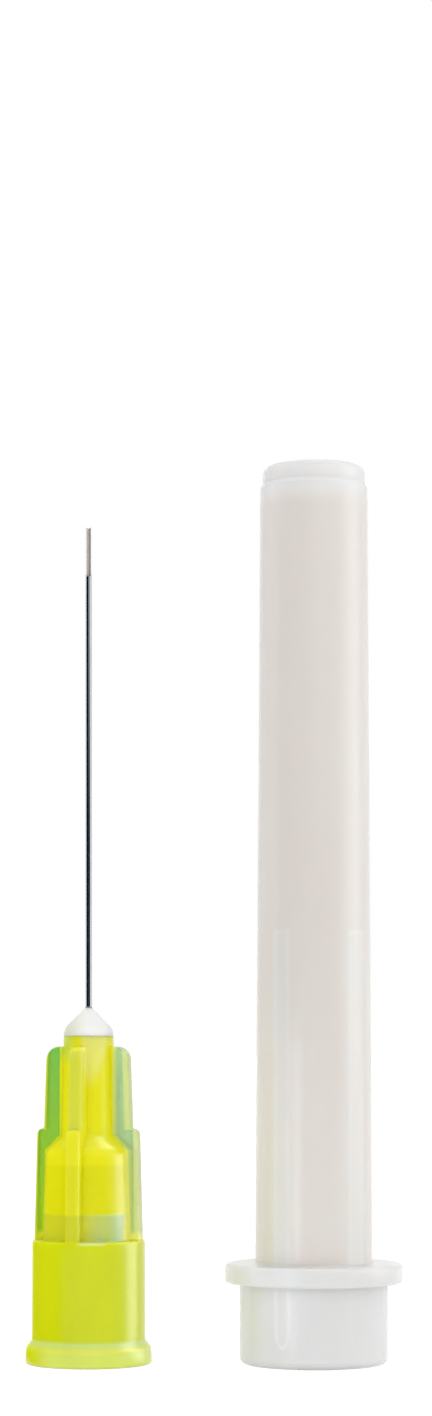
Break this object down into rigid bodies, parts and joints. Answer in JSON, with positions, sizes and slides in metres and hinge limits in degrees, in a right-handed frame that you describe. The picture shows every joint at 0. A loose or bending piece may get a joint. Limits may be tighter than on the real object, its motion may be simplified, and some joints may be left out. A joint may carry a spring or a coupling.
{
  "type": "endodontic irrigation needle",
  "caption": "Thin blunt steel cannula with a notched tip, glued into a finned Luer-lock hub, and its tapered flanged protective cap standing beside it.",
  "frame": {"origin": "centre of the Luer socket's mouth, on the plane that the hub's rim and the cap's mouth stand on", "axes": "+Z along the cannula towards its tip, -Y to the side that the notch opens to, +X towards the cap"},
  "size_m": [0.0233, 0.011, 0.0553],
  "materials": {
    "yellow_polypropylene": "glossy translucent moulding",
    "stainless_tube": "drawn and polished",
    "white_adhesive": "smooth cured drop",
    "milky_polypropylene": "satin translucent moulding"
  },
  "bodies": {
    "needle": {"hub": "yellow_polypropylene", "cannula": "stainless_tube", "adhesive": "white_adhesive"},
    "cap": {"cap": "milky_polypropylene"}
  },
  "joints": [
    {"name": "cap_lift", "type": "slide", "parent": "needle", "child": "cap", "axis": [0, 0, 1], "range_m": [0, 0.0263]}
  ]
}
